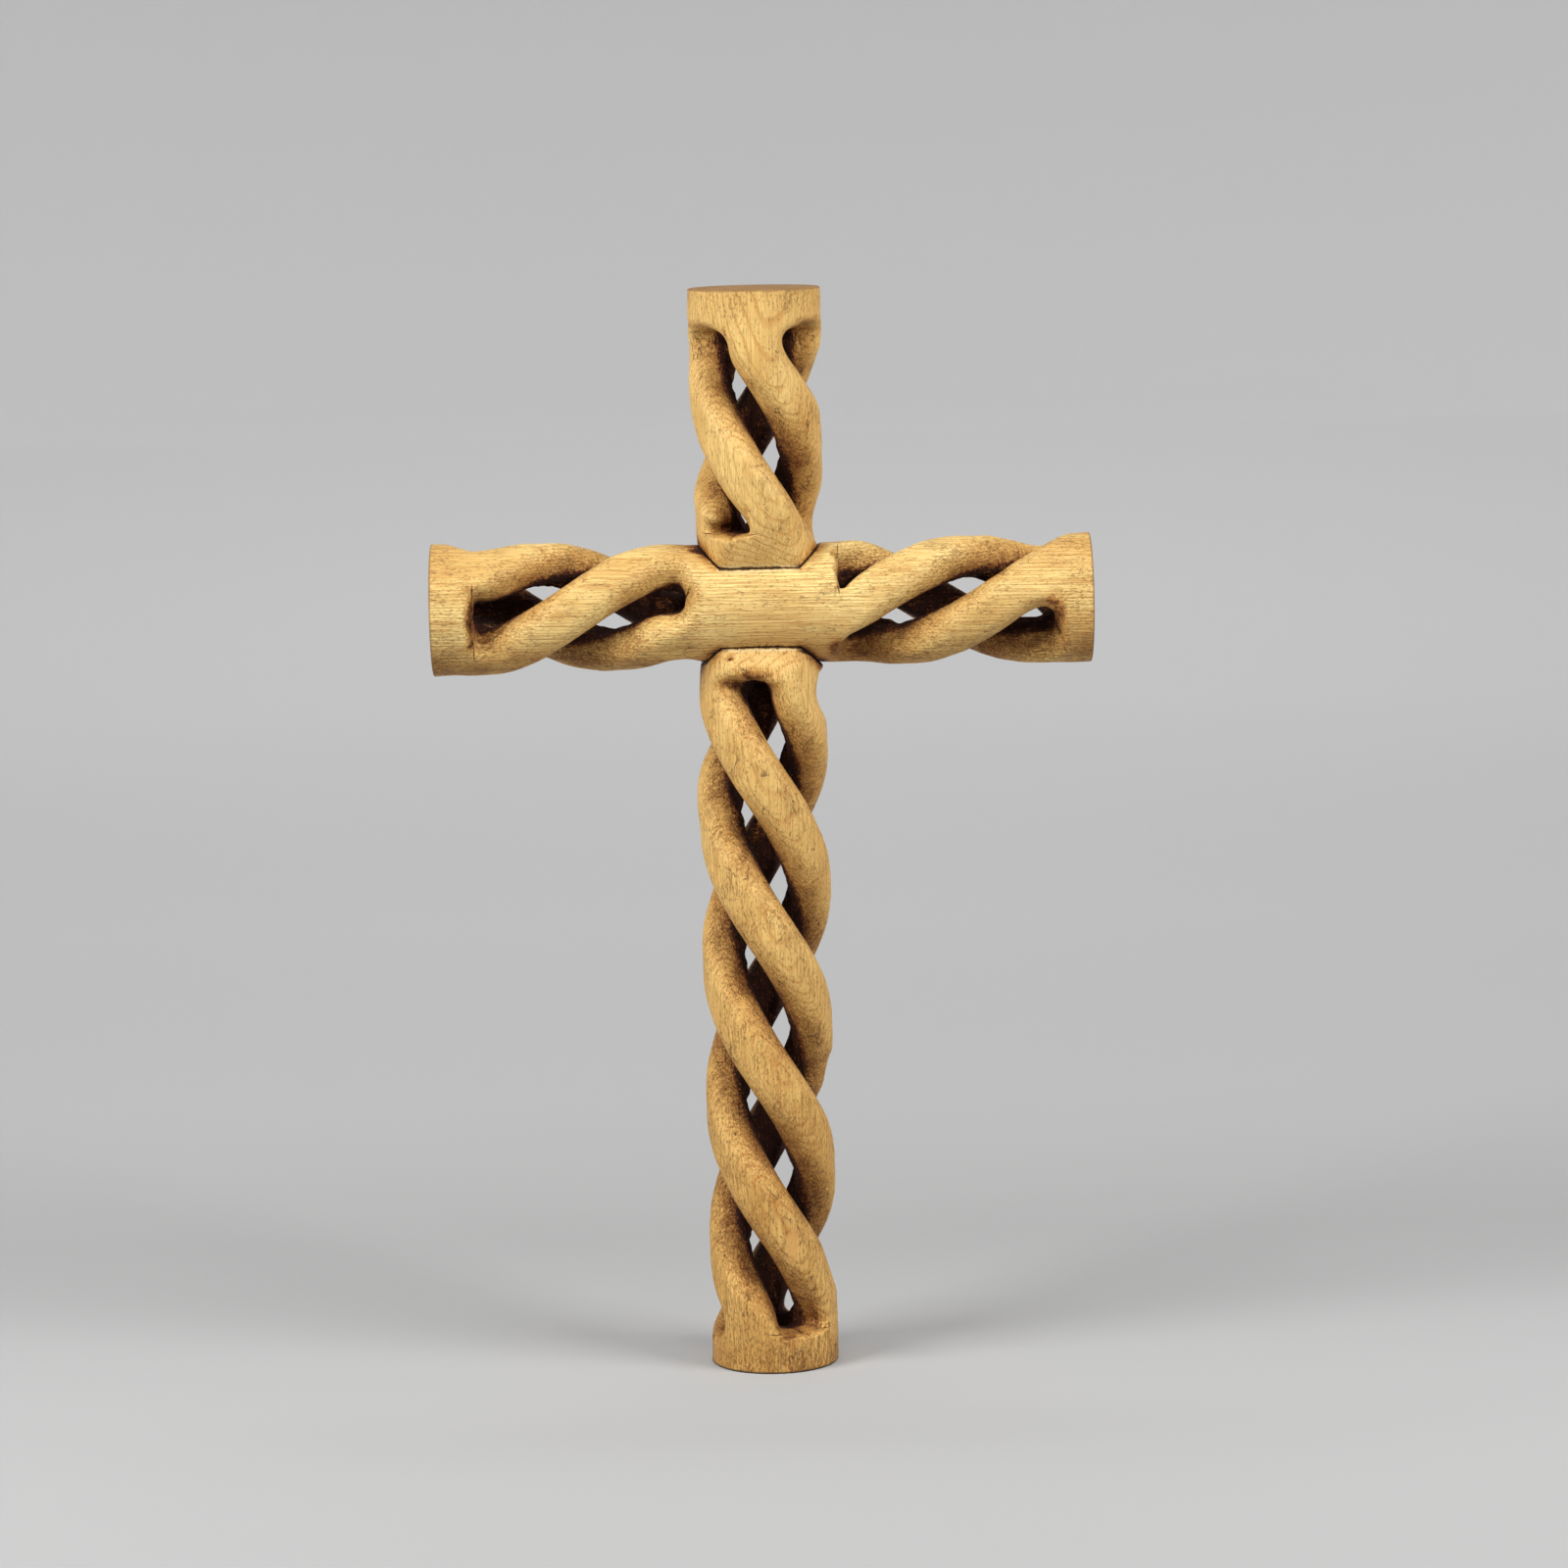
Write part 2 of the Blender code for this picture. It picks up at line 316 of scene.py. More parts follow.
# How finely the skins are laid out: rows stand closer together near the slots' tips.
OUTER_COLUMNS = 16
INNER_COLUMNS = 6
FINE_STEP = 0.0006
FINE_REACH = 0.009
LOOKUP_STEP = FINE_STEP / 3
PLAIN_STEP = 0.0009
EDGE_MARGIN = 0.001
WELD = 2e-6
SHARP_ANGLE = 50

# Rays sent out from each corner, in a bowl, to see how shaded it lies.
RAYS = 18
RAY_REACH = 0.04
RAY_LIFT = 0.0004
GOLDEN_ANGLE = 2.39996


def smooth(t):
    """0 to 1 with a soft start and stop."""
    t = np.clip(t, 0.0, 1.0)
    return t * t * (3.0 - 2.0 * t)


def ripple(points, size, seed):
    """Gentle unevenness between about -1 and 1, with waves of a given size in metres."""
    rng = np.random.default_rng(seed)
    total = np.zeros(points.shape[:-1])
    for _ in range(RIPPLE_WAVES):
        way = rng.normal(size=3)
        way *= 2 * math.pi / (np.linalg.norm(way) * size * rng.uniform(0.7, 1.5))
        total += np.sin(points @ way + rng.uniform(0, 2 * math.pi))
    return total / RIPPLE_HEIGHT


class Tip:
    """Where a slot ends: pointed or square, straight or skewed, with a soft or a steep lip.

    shift moves it along the stave. The slot is fully open at length in from it, and a squareness
    of 2 makes it round, more makes it square. skew turns it aside, in degrees. lip is the width
    over which the wood rolls down to the tip, and steep how far in from the tip that fades. flare
    widens the slot near its tip, and stand_in lets the strand on its left stand in, in degrees.
    """

    def __init__(
        self, shift=0.0, length=TIP_LENGTH, squareness=2.0, skew=0.0, lip=TIP_ROUNDING,
        steep=TIP_LENGTH, flare=0.0, stand_in=0.0,
    ):
        self.shift = shift
        self.length = length
        self.squareness = squareness
        self.skew = math.radians(skew)
        self.lip = lip
        self.steep = steep
        self.flare = flare
        self.stand_in = math.radians(stand_in)

    def opened(self, depth):
        """The slot's share of its full width at a depth in from its tip."""
        t = np.clip(depth / self.length, 0.0, 1.0)
        return (1.0 - (1.0 - t) ** self.squareness) ** (1.0 / self.squareness)

    def swerve(self, depth):
        """How far the slot turns aside towards its tip."""
        return self.skew * (1.0 - np.clip(np.abs(depth) / (2 * self.length), 0.0, 1.0)) ** 2

    def narrowed(self, depth):
        """How far the strand on the slot's left stands into it a little way in from the tip."""
        rise = smooth(depth / STAND_IN_RISE)
        return self.stand_in * rise * (1.0 - smooth((depth - STAND_IN_START) / STAND_IN_FALL))

    def flared(self, depth):
        """How much wider the slot is than its usual width, close to the tip."""
        return self.flare * (1.0 - smooth(depth / FLARE_REACH))


class Slot:
    """One winding slot of a limb, between its two tips."""

    def __init__(self, start, end, gap, first, last):
        self.start = start + first.shift
        self.end = end + last.shift
        self.gap = math.radians(gap)
        self.first = first
        self.last = last

    def sides(self, s):
        """Angles of both edges from the slot's centre line, which meet at its tips."""
        up = s - self.start
        down = self.end - s
        half = self.gap * self.first.opened(up) * self.last.opened(down)
        half *= 1.0 + self.first.flared(up) + self.last.flared(down)
        centre = self.first.swerve(up) + self.last.swerve(down)
        return centre - half + self.first.narrowed(up) + self.last.narrowed(down), centre + half

    def rounding(self, s):
        """How wide the surface rolls over towards the edge: the lip at a tip, more along the strands."""
        depth = np.minimum(s - self.start, self.end - s)
        first = s - self.start < self.end - s
        lip = np.where(first, self.first.lip, self.last.lip)
        steep = np.where(first, self.first.steep, self.last.steep)
        return lip + (STRAND_ROUNDING - lip) * np.clip(depth / steep, 0.0, 1.0)


class Stave:
    """A round stave along its own +Z; angles go round it from its front towards +X.

    before and after are its lengths on both sides of the joint, and side is 1 where it is notched
    at its front and -1 at its back. joint_radius is the other stave's radius at the joint.
    """

    def __init__(self, before, after, diameters, waist, pitches, turn, side, joint_radius, marks):
        self.joint = before
        self.length = before + after
        self.diameters = diameters
        self.waist = waist
        self.pitches = pitches
        self.first_slot = math.radians(turn)
        self.side = side
        self.flush = math.sqrt(joint_radius ** 2 - SHOULDER ** 2)
        self.marks = marks
        self.limbs = []

    def pierce(self, start, end, gap, tips):
        """Open one limb with three slots, each with its own two tips."""
        self.limbs.append([Slot(start, end, gap, first, last) for first, last in tips])
        ends = [at for limb in self.limbs for slot in limb for at in (slot.start, slot.end)]
        places = np.arange(0.0, self.length, LOOKUP_STEP)
        self.fine = np.min([abs(places - at) for at in ends], axis=0) < FINE_REACH

    def radius(self, s):
        """The turned radius, before any carving, with a slight waist at the joint."""
        full = np.interp(s, [0.0, self.joint, self.length], self.diameters)
        near = np.clip(np.abs(s - self.joint) / WAIST_REACH, 0.0, 1.0)
        return (full - self.waist * (1.0 + np.cos(math.pi * near)) / 2) / 2

    def pared(self, radius, angle, s):
        """The radius where the face beside the joint is pared down flush with the other stave."""
        depth = self.flush + PARED_SLOPE * np.maximum(np.abs(s - self.joint) - SHOULDER, 0.0)
        facing = np.maximum(self.side * np.cos(angle), 0.0)
        return (radius ** -PARED_CREASE + (facing / depth) ** PARED_CREASE) ** (-1.0 / PARED_CREASE)

    def centre(self, s):
        """The angle of the first slot's centre line, which falls as it climbs: a left-handed twist."""
        pitch = np.where(s < self.joint, self.pitches[0], self.pitches[1])
        return self.first_slot - 2 * math.pi * (s - self.joint) / pitch

    def rows(self):
        """Places along the stave: close together where slots open and close."""
        places = [1.5 * RIM]
        while places[-1] < self.length - 1.5 * RIM:
            step = FINE_STEP if self.fine[int(places[-1] / LOOKUP_STEP)] else PLAIN_STEP
            places.append(places[-1] + step)
        rim = RIM * (1.0 - np.cos(np.linspace(0.0, math.pi / 2, 5)))
        return np.concatenate([rim, places[:-1], self.length - rim[::-1]])

    def marked(self, angle, s):
        """Depth and stain of the marks that chips, gouges and wear have left.

        A mark is (degrees, place along the stave, half width, half length, depth, stain). The
        darkest stain counts where marks overlap. A stain below 0 is a patch that is rubbed bare,
        and its mark is the last in the list.
        """
        depth = np.zeros(np.shape(s))
        stain = np.zeros(np.shape(s))
        for degrees, at, wide, long, deep, dark in self.marks:
            turned = (angle - math.radians(degrees) + math.pi) % (2 * math.pi) - math.pi
            bell = smooth(1.5 - np.hypot(turned * self.radius(self.joint) / wide, (s - at) / long))
            depth += deep * bell
            stain = np.maximum(stain, dark * bell) if dark > 0.0 else stain + dark * bell
        return depth, stain

    def from_edge(self, slot, angle, s):
        """How far a point of the surface lies from the slot's edge, measured round the stave."""
        rows = self.all_rows
        edge_s = rows[(rows > slot.start - EDGE_MARGIN) & (rows < slot.end + EDGE_MARGIN)]
        left, right = slot.sides(edge_s)
        edge_s = np.concatenate([edge_s, edge_s[::-1]])
        edge_angle = np.concatenate([left, right[::-1]])
        flat = self.radius(self.joint)
        edge = np.stack([(edge_angle + self.centre(edge_s)) * flat, edge_s], axis=-1)
        run = np.diff(edge, axis=0)
        length = np.maximum((run ** 2).sum(axis=-1), 1e-12)
        nearest = np.full(angle.shape, TIP_ROUNDING)
        for i, along in enumerate(s[:, 0]):
            near = np.abs(edge[:-1, 1] - along) < 1.2 * TIP_ROUNDING
            if near.any():
                point = np.stack([(angle[i] + self.centre(s[i])) * flat, s[i]], axis=-1)
                away = point[:, None, :] - edge[:-1][near]
                share = np.clip((away * run[near]).sum(axis=-1) / length[near], 0.0, 1.0)
                away = away - share[..., None] * run[near]
                nearest[i] = np.sqrt((away ** 2).sum(axis=-1)).min(axis=-1)
        return nearest

    def outside(self, k, angle, s):
        """The carved radius: full on the strands' backs, rolling over to the slots' edges."""
        full = self.radius(s)
        carved = full
        for limb in self.limbs:
            t = np.clip(self.from_edge(limb[k], angle, s) / limb[k].rounding(s), 0.0, 1.0)
            fall = 1.0 - (1.0 - (1.0 - t) ** ROUNDNESS) ** (1.0 / ROUNDNESS)
            carved = np.minimum(carved, full * (1.0 - (1.0 - EDGE_RADIUS) * fall))
        rim = np.clip(np.minimum(s, self.length - s) / RIM, 0.0, 1.0)
        return carved - RIM * (1.0 - np.sqrt(1.0 - (1.0 - rim) ** 2))

    def inside(self, limb, k, angle, s):
        """The hollow's radius, flaring to the slots' edges, and its share of the way in from them."""
        t = np.clip(self.from_edge(limb[k], angle, s) / BORE_ROUNDING, 0.0, 1.0)
        rise = 1.0 - np.sqrt(1.0 - (1.0 - t) ** 2)
        low, high = min(slot.start for slot in limb), max(slot.end for slot in limb)
        deep = np.clip((np.minimum(s - low, high - s) + BORE_END) / BORE_TAPER, 0.0, 1.0)
        bore = BORE * np.sqrt(1.0 - (1.0 - deep) ** 2)
        return self.radius(s) * (bore + (EDGE_RADIUS - bore) * rise), t


def place(angle, radius, s):
    """Points of the surface, from their angles, radii and places along the stave."""
    return np.stack([radius * np.sin(angle), -radius * np.cos(angle), s], axis=-1)


def bore_end(rim, direction):
    """The hollow's round bottom: its last row drawn in to the axis."""
    depths = BORE_END * np.sin(np.linspace(0.0, math.pi / 2, 7))
    taper = np.sqrt(1.0 - (1.0 - (BORE_END - depths) / BORE_TAPER) ** 2)
    rings = [
        rim * [share, share, 1.0] + [0.0, 0.0, direction * depth]
        for share, depth in zip(taper / taper[0], depths)
    ]
    return np.stack(rings)


def sheet(points, inward):
    """The corners and quads of a sheet through a grid of points."""
    rows, columns = points.shape[:2]
    first = (np.arange(rows - 1)[:, None] * columns + np.arange(columns - 1)).ravel()
    quads = np.stack([first, first + 1, first + columns + 1, first + columns], axis=-1)
    return points.reshape(-1, 3), quads[:, ::-1] if inward else quads


def from_ends(s, low, high):
    """0 at both ends and 1 a little way in."""
    return smooth(np.minimum(s - low, high - s) / END_FADE)


def uneven(points, waves, seed):
    """Ripples of several depths and sizes, added up."""
    return sum(depth * ripple(points, size, seed + i) for i, (depth, size) in enumerate(waves))


def joined(sheets):
    """One closed mesh of all the sheets, welded where they meet."""
    corners, quads, count = [], [], 0
    for points, faces in sheets:
        corners.append(points)
        quads.append(faces + count)
        count += len(points)
    mesh = bpy.data.meshes.new("carving")
    mesh.from_pydata(np.concatenate(corners).tolist(), [], np.concatenate(quads).tolist())
    bm = bmesh.new()
    bm.from_mesh(mesh)
    bmesh.ops.remove_doubles(bm, verts=bm.verts, dist=WELD)
    bmesh.ops.holes_fill(bm, edges=[edge for edge in bm.edges if edge.is_boundary])
    bmesh.ops.recalc_face_normals(bm, faces=bm.faces)
    bm.to_mesh(mesh)
    bm.free()
    return mesh


def carve(stave, seed):
    """The stave's mesh: an outer skin and a hollowed inner skin that meet along the slots' edges."""
    stave.all_rows = stave.rows()
    sheets = []
    for limb in [None] + stave.limbs:
        rows, columns = stave.all_rows, OUTER_COLUMNS
        if limb:
            low, high = min(slot.start for slot in limb), max(slot.end for slot in limb)
            rows, columns = rows[(rows > low - FINE_STEP) & (rows < high + FINE_STEP)], INNER_COLUMNS
        share = np.sin(np.linspace(0.0, math.pi / 2, columns + 1))
        for k in range(STRANDS):
            edges = np.zeros((2, len(rows)))
            for each in stave.limbs:
                edges += each[k].sides(rows)
            left = -SECTOR + (SECTOR + edges[0][:, None]) * share
            right = SECTOR - (SECTOR - edges[1][:, None]) * share[::-1]
            for half in (left, right):
                s = np.repeat(rows[:, None], columns + 1, axis=1)
                angle = half + stave.centre(s) + 2 * math.pi * k / STRANDS
                turned = place(angle, stave.radius(s), s)
                worn = uneven(turned, WORN, seed + 3)
                worn *= smooth((np.abs(s - stave.joint) - SHOULDER) / JOINT_FADE)
                worn = (worn - stave.marked(angle, s)[0]) * from_ends(s, 0.0, stave.length)
                if limb:
                    radius, within = stave.inside(limb, k, half, s)
                    rough = uneven(turned, GOUGED, seed + 1)
                    points = place(angle, radius + worn + rough * within * from_ends(s, low, high), s)
                    sheets.append(sheet(bore_end(points[0], -1.0), inward=False))
                    sheets.append(sheet(bore_end(points[-1], 1.0), inward=True))
                else:
                    radius = stave.pared(stave.outside(k, half, s), angle, s)
                    points = place(angle, radius + worn, s)
                sheets.append(sheet(points, inward=bool(limb)))
    return joined(sheets)


def housing(name, along, across, lap, reach):
    """The space that one stave fills in the joint, which is cut from the other stave.

    From the front it is a bow tie: a waist of twice along by twice across, and flares with mitred
    corners out to reach. The flares go through the whole depth, the waist only as far back as lap.
    """
    flare = reach - along + across
    plan = [(-reach, -flare), (-along, -across), (along, -across), (reach, -flare),
            (reach, flare), (along, across), (-along, across), (-reach, flare)]
    sides = len(plan)
    left, waist, right = (0, 1, 6, 7), (1, 2, 5, 6), (2, 3, 4, 5)
    faces = [left, waist, right, tuple(i + sides for i in waist)]
    faces += [(i, (i + 1) % sides, (i + 1) % sides + sides, i + sides) for i in range(sides)]
    for end in (left, right):
        faces.append(tuple(i + 2 * sides for i in end))
        for i, j in zip(end, end[1:] + end[:1]):
            faces.append((i + sides, j + sides, j + 2 * sides, i + 2 * sides))
    bm = bmesh.new()
    corners = [bm.verts.new((x, y, z)) for y in (-reach, lap, reach) for x, z in plan]
    for face in faces:
        bm.faces.new([corners[i] for i in face])
    bmesh.ops.recalc_face_normals(bm, faces=bm.faces)
    mesh = bpy.data.meshes.new(name)
    bm.to_mesh(mesh)
    bm.free()
    cutter = bpy.data.objects.new(name, mesh)
    bpy.context.scene.collection.objects.link(cutter)
    cutter.location.z = SHAFT_LENGTH
    return cutter


def notch(name, mesh, cutter, lay):
    """The stave with its half of the joint cut out, laid in its place in the cross."""
    mesh.transform(lay)
    stave = bpy.data.objects.new(name, mesh)
    bpy.context.scene.collection.objects.link(stave)
    halving = stave.modifiers.new("halving", "BOOLEAN")
    halving.operation = "DIFFERENCE"
    halving.solver = "EXACT"
    halving.object = cutter
    cut = bpy.data.meshes.new_from_object(stave.evaluated_get(bpy.context.evaluated_depsgraph_get()))
    stave.modifiers.clear()
    stave.data = cut
    cut.name = name
    bpy.data.objects.remove(cutter)
    cut.shade_smooth()
    cut.set_sharp_from_angle(angle=math.radians(SHARP_ANGLE))
    return stave


def hollow_shade_and_stain(piece, stave, lay, neighbour):
    """Marks on each corner: how hollow it lies in its stave, how little sky it sees, and its stain. The
    wood's material turns them into stain and painted shade.
    """
    mesh = piece.data
    points = np.empty(len(mesh.vertices) * 3)
    mesh.vertices.foreach_get("co", points)
    points = points.reshape(-1, 3)
    normals = np.array([n.vector for n in mesh.vertex_normals])
    unlay = np.array(lay.inverted())
    local = points @ unlay[:3, :3].T + unlay[:3, 3]
    angle = np.arctan2(local[:, 0], -local[:, 1])
    s = local[:, 2]
    hollow = np.hypot(local[:, 0], local[:, 1]) / stave.pared(stave.radius(s), angle, s)
    stain = stave.marked(angle, s)[1]

    corners, faces = [], []
    for skin in (mesh, neighbour.data):
        faces += [[i + len(corners) for i in face.vertices] for face in skin.polygons]
        corners += [corner.co[:] for corner in skin.vertices]
    cover = BVHTree.FromPolygons(corners, faces)
    turn = np.arange(RAYS) * GOLDEN_ANGLE
    lift = np.sqrt((np.arange(RAYS) + 0.5) / RAYS)
    bowl = np.stack([lift * np.cos(turn), lift * np.sin(turn), np.sqrt(1.0 - lift ** 2)], axis=-1)
    helper = np.where(np.abs(normals[:, 2:3]) < 0.7, [[0.0, 0.0, 1.0]], [[1.0, 0.0, 0.0]])
    side = np.cross(helper, normals)
    side /= np.maximum(np.linalg.norm(side, axis=1, keepdims=True), 1e-9)
    other = np.cross(normals, side)
    shade = np.zeros(len(points))
    starts = (points + normals * RAY_LIFT).tolist()
    for ray in bowl:
        ways = (side * ray[0] + other * ray[1] + normals * ray[2]).tolist()
        for i, (start, way) in enumerate(zip(starts, ways)):
            distance = cover.ray_cast(start, way, RAY_REACH)[3]
            if distance is not None:
                shade[i] += (1.0 - distance / RAY_REACH) / RAYS
    for name, values in (("hollow", hollow), ("shade", shade), ("stain", stain)):
        mesh.attributes.new(name, "FLOAT", "POINT").data.foreach_set("value", values.astype(np.float32))


def carved_wood(name, axes, length, wood, pith, tilt, ring, wave, lines, darker_below, seed):
    """Waxed pale hardwood: growth rings, fibres and pores, with old brown stain left in the hollows, and
    painted shade there and on the strands' flanks.

    axes are the numbers of the axes across, in depth and along the grain, and length its two ends.
    wood is its darker and its lighter colour. The rings lie round the pith, one ring apart. They
    climb by tilt along the grain and wander by wave. lines is how strong the long fibres show.
    The height below which the wood is darkened, over what height and by how much, comes before the seed:
    painted shade on the crossbar's underside, and darker towards the foot on the upright.
    """
    material, start = new_material(name)
    parts = start.add("ShaderNodeTexCoord", None, None, "Object").axes()
    wide, deep, long = (parts[i] for i in axes)
    grain = start.add("ShaderNodeCombineXYZ", None, {0: wide, 1: deep, 2: long + seed})
    hollow, shade, mark = (
        start.add("ShaderNodeAttribute", {"attribute_name": kind}, None, "Fac")
        for kind in ("hollow", "shade", "stain")
    )

    def near_ends(reach, fade):
        """0 along the stave and 1 at both of its ends."""
        return (long - (length[1] - reach)).step(0.0, fade) + (length[0] + reach - long).step(0.0, fade)

    # Patches, fibres, pores and tool marks: waves to the metre across, in depth and along the grain.
    broad = grain.noise((45.0, 45.0, 20.0), 3.0, 0.6)
    patch = grain.noise((120.0, 120.0, 70.0), 4.0, 0.7)
    fibre = grain.noise((1900.0, 1900.0, 45.0), 3.0, 0.65)
    line = grain.noise((1500.0, 1500.0, 8.0), 2.0, 0.6)
    speck = grain.noise((1500.0, 1500.0, 700.0), 2.0, 0.6)
    dash = grain.noise((2600.0, 2600.0, 360.0), 1.0)
    tool = grain.noise((420.0, 420.0, 2000.0), 2.0, 0.6)
    crack = (grain.noise((95.0, 95.0, 40.0), 3.0, 0.6) - 0.5).size()

    # Growth rings: the late wood darkens outwards and stops at the next ring.
    drift = grain.noise((30.0, 30.0, 9.0), 3.0, 0.55)
    off_wide = wide - pith[0]
    off_deep = deep - pith[1]
    from_pith = start.math("SQRT", off_wide * off_wide + off_deep * off_deep)
    saw = start.math("FRACT", (from_pith + long * tilt + drift * wave) * (1.0 / ring))
    late = saw.step(0.58, 0.88) * (1.0 - saw.step(0.90, 1.0))
    strength = grain.noise((60.0, 60.0, 25.0), 1.0).step(0.3, 0.75)

    # Where the stain was never rubbed off: strands' flanks, ends and deep hollows. Painted shade is mixed in
    # where a corner sees little sky, and it takes the deep hollows nearly to black. Low down the wood is
    # darker too.
    edge = start.math("SQRT", ((1.004 - hollow) * 2.2).bigger(0.0).smaller(1.0))
    flank_stain_and_shade = edge.step(0.12, 0.95) * 0.62 + shade.step(0.16, 0.50) * 0.42 + mark * 0.6
    # Darker below a height: painted shade on the crossbar's underside, and darker towards the foot on the
    # upright.
    low_darkening = (darker_below[0] - parts[2]).step(0.0, darker_below[1]) * darker_below[2]
    handled = near_ends(0.016, 0.014)
    flank_stain_and_shade = (flank_stain_and_shade * (0.45 + patch * 1.1) + low_darkening + handled * 0.20).smaller(1.0)
    deep_stain_and_shade = (1.0 - hollow.step(0.50, 0.66)).bigger(shade.step(0.50, 0.74)).bigger(mark.step(0.5, 1.1))

    # The joint's seams, by their distance in front and behind, and the dirt and painted shade in their
    # corners.
    rise = (parts[2] - SHAFT_LENGTH).size()
    aside = parts[0].size()
    behind = parts[1].step(-0.0002, 0.0002)
    front_seam = (rise - aside.bigger(SHOULDER)).size()
    back_seam = (aside - rise.bigger(SHOULDER)).size()
    seam = front_seam * (1.0 - behind) + back_seam * behind + (speck - 0.5) * 0.0014 + (patch - 0.5) * 0.0026
    corner = aside.smaller(rise).step(0.0105, 0.0160)
    # Painted shade with some dirt: darker where the two staves meet in the joint's corners.
    corner_dirt_and_shade = (1.0 - seam.step(0.0004, 0.0062)) * corner * patch.step(0.28, 0.55)
    dirt = 1.0 - seam.step(0.0000, 0.0006)

    # Bare wood, then its pores, the stain and painted shade over it, what has worn, cracked or been filled
    # since, and a painted shadow along the foot's bottom edge.
    colour = start.blend(wood[0], wood[1], broad.step(0.35, 0.65))
    colour = start.blend(colour, LATE_WOOD, late * (0.20 + strength * 0.40))
    colour = start.blend(colour, FIBRES, fibre.step(0.46, 0.68) * 0.48)
    colour = start.blend(colour, LONG_LINES, line.step(0.50, 0.61) * lines)
    colour = start.blend(colour, DULL_PATCHES, patch.step(0.50, 0.78) * 0.35)
    spots = (speck + flank_stain_and_shade * 0.13 + handled * 0.03 + (patch - 0.5) * 0.22).step(0.605, 0.68)
    dashes = (dash + flank_stain_and_shade * 0.10 + (patch - 0.5) * 0.25).step(0.675, 0.74)
    colour = start.blend(colour, PORES, (spots * 0.42).bigger(dashes * 0.42))
    mottle = (speck - 0.5) * 0.5 + (patch - 0.5) * 1.0 + (fibre - 0.5) * 1.4 + (tool - 0.5) * 0.6
    # Painted shade: the colour darkens with the stain where corners see little sky, deep in the hollows and
    # in the joint's corners.
    soak_and_shade = ((flank_stain_and_shade * 0.60 + deep_stain_and_shade * 0.50 + corner_dirt_and_shade * 0.62) * (mottle + 1.0)).bigger(0.0).smaller(1.0)
    colour = colour.scaled(soak_and_shade.ramp(STAIN_AND_SHADE))
    colour = start.blend(colour, RUBBED_BARE, (mark * -1.0).step(0.15, 0.45) * 0.85)
    cracks = (1.0 - crack.step(0.0, 0.010)) * (patch + flank_stain_and_shade * 0.2).step(0.58, 0.66)
    colour = start.blend(colour, CRACKS, cracks * (0.9 - lines))
    beside = seam.step(0.0004, 0.0007) * (1.0 - seam.step(0.0009, 0.0014))
    glue = beside * (1.0 - corner) * broad.step(0.42, 0.52)
    colour = start.blend(colour, GLUE, glue * 0.7)
    colour = start.blend(colour, SEAM_DIRT, dirt * 0.9)
    colour = start.blend(colour, END_GRAIN, near_ends(0.0009, 0.0006) * (0.55 + patch * 0.4))
    # Painted shadow: a dark line along the foot's lowest millimetre, where it meets the floor.
    colour = start.blend(colour, FOOT_SHADOW, (1.0 - parts[2].step(0.0002, 0.0013)) * 0.85)

    # Open pores and cracks lie low, and deep hollows are rougher.
    height = fibre * 0.55 + line * lines - late * 0.20 - dashes * 0.9 - spots * 0.5 - cracks * 1.3
    height = height + speck * 0.3 + tool * flank_stain_and_shade * 0.8 + patch * (0.6 + deep_stain_and_shade * 2.5) - dirt * 1.5
    bump = start.add("ShaderNodeBump", None, {"Strength": 0.75, "Distance": 0.00050, "Height": height})
    sockets = {
        "Base Color": colour,
        "Roughness": 0.42 + fibre * 0.12 + flank_stain_and_shade * 0.20 + deep_stain_and_shade * 0.2,
        "Normal": bump,
        "Specular IOR Level": 0.34,
    }
    surface = start.add("ShaderNodeBsdfPrincipled", None, sockets)
    start.add("ShaderNodeOutputMaterial", None, {"Surface": surface})
    return material


# Tips of the slots that show in front, each cut a little differently.
ARCH = Tip(length=0.0066, squareness=2.9, skew=12.0, lip=0.0052, flare=0.38)
CHISELLED = Tip(length=0.0050, squareness=3.6, skew=-6.0, lip=0.0022, steep=0.0240, flare=0.30, stand_in=18.0)
SWERVED = Tip(length=0.0070, squareness=2.6, skew=20.0, lip=0.0042, flare=0.40)
RECESSED = Tip(shift=0.0006, length=0.0060, squareness=3.0, skew=18.0, lip=0.0036, flare=0.40)
TORN = Tip(shift=-0.0006, length=0.0050, squareness=3.6, skew=-10.0, lip=0.0022, steep=0.0180, flare=0.30)
SIDE_DISH = Tip(shift=-0.0016, skew=5.0, lip=0.0060, flare=0.20)

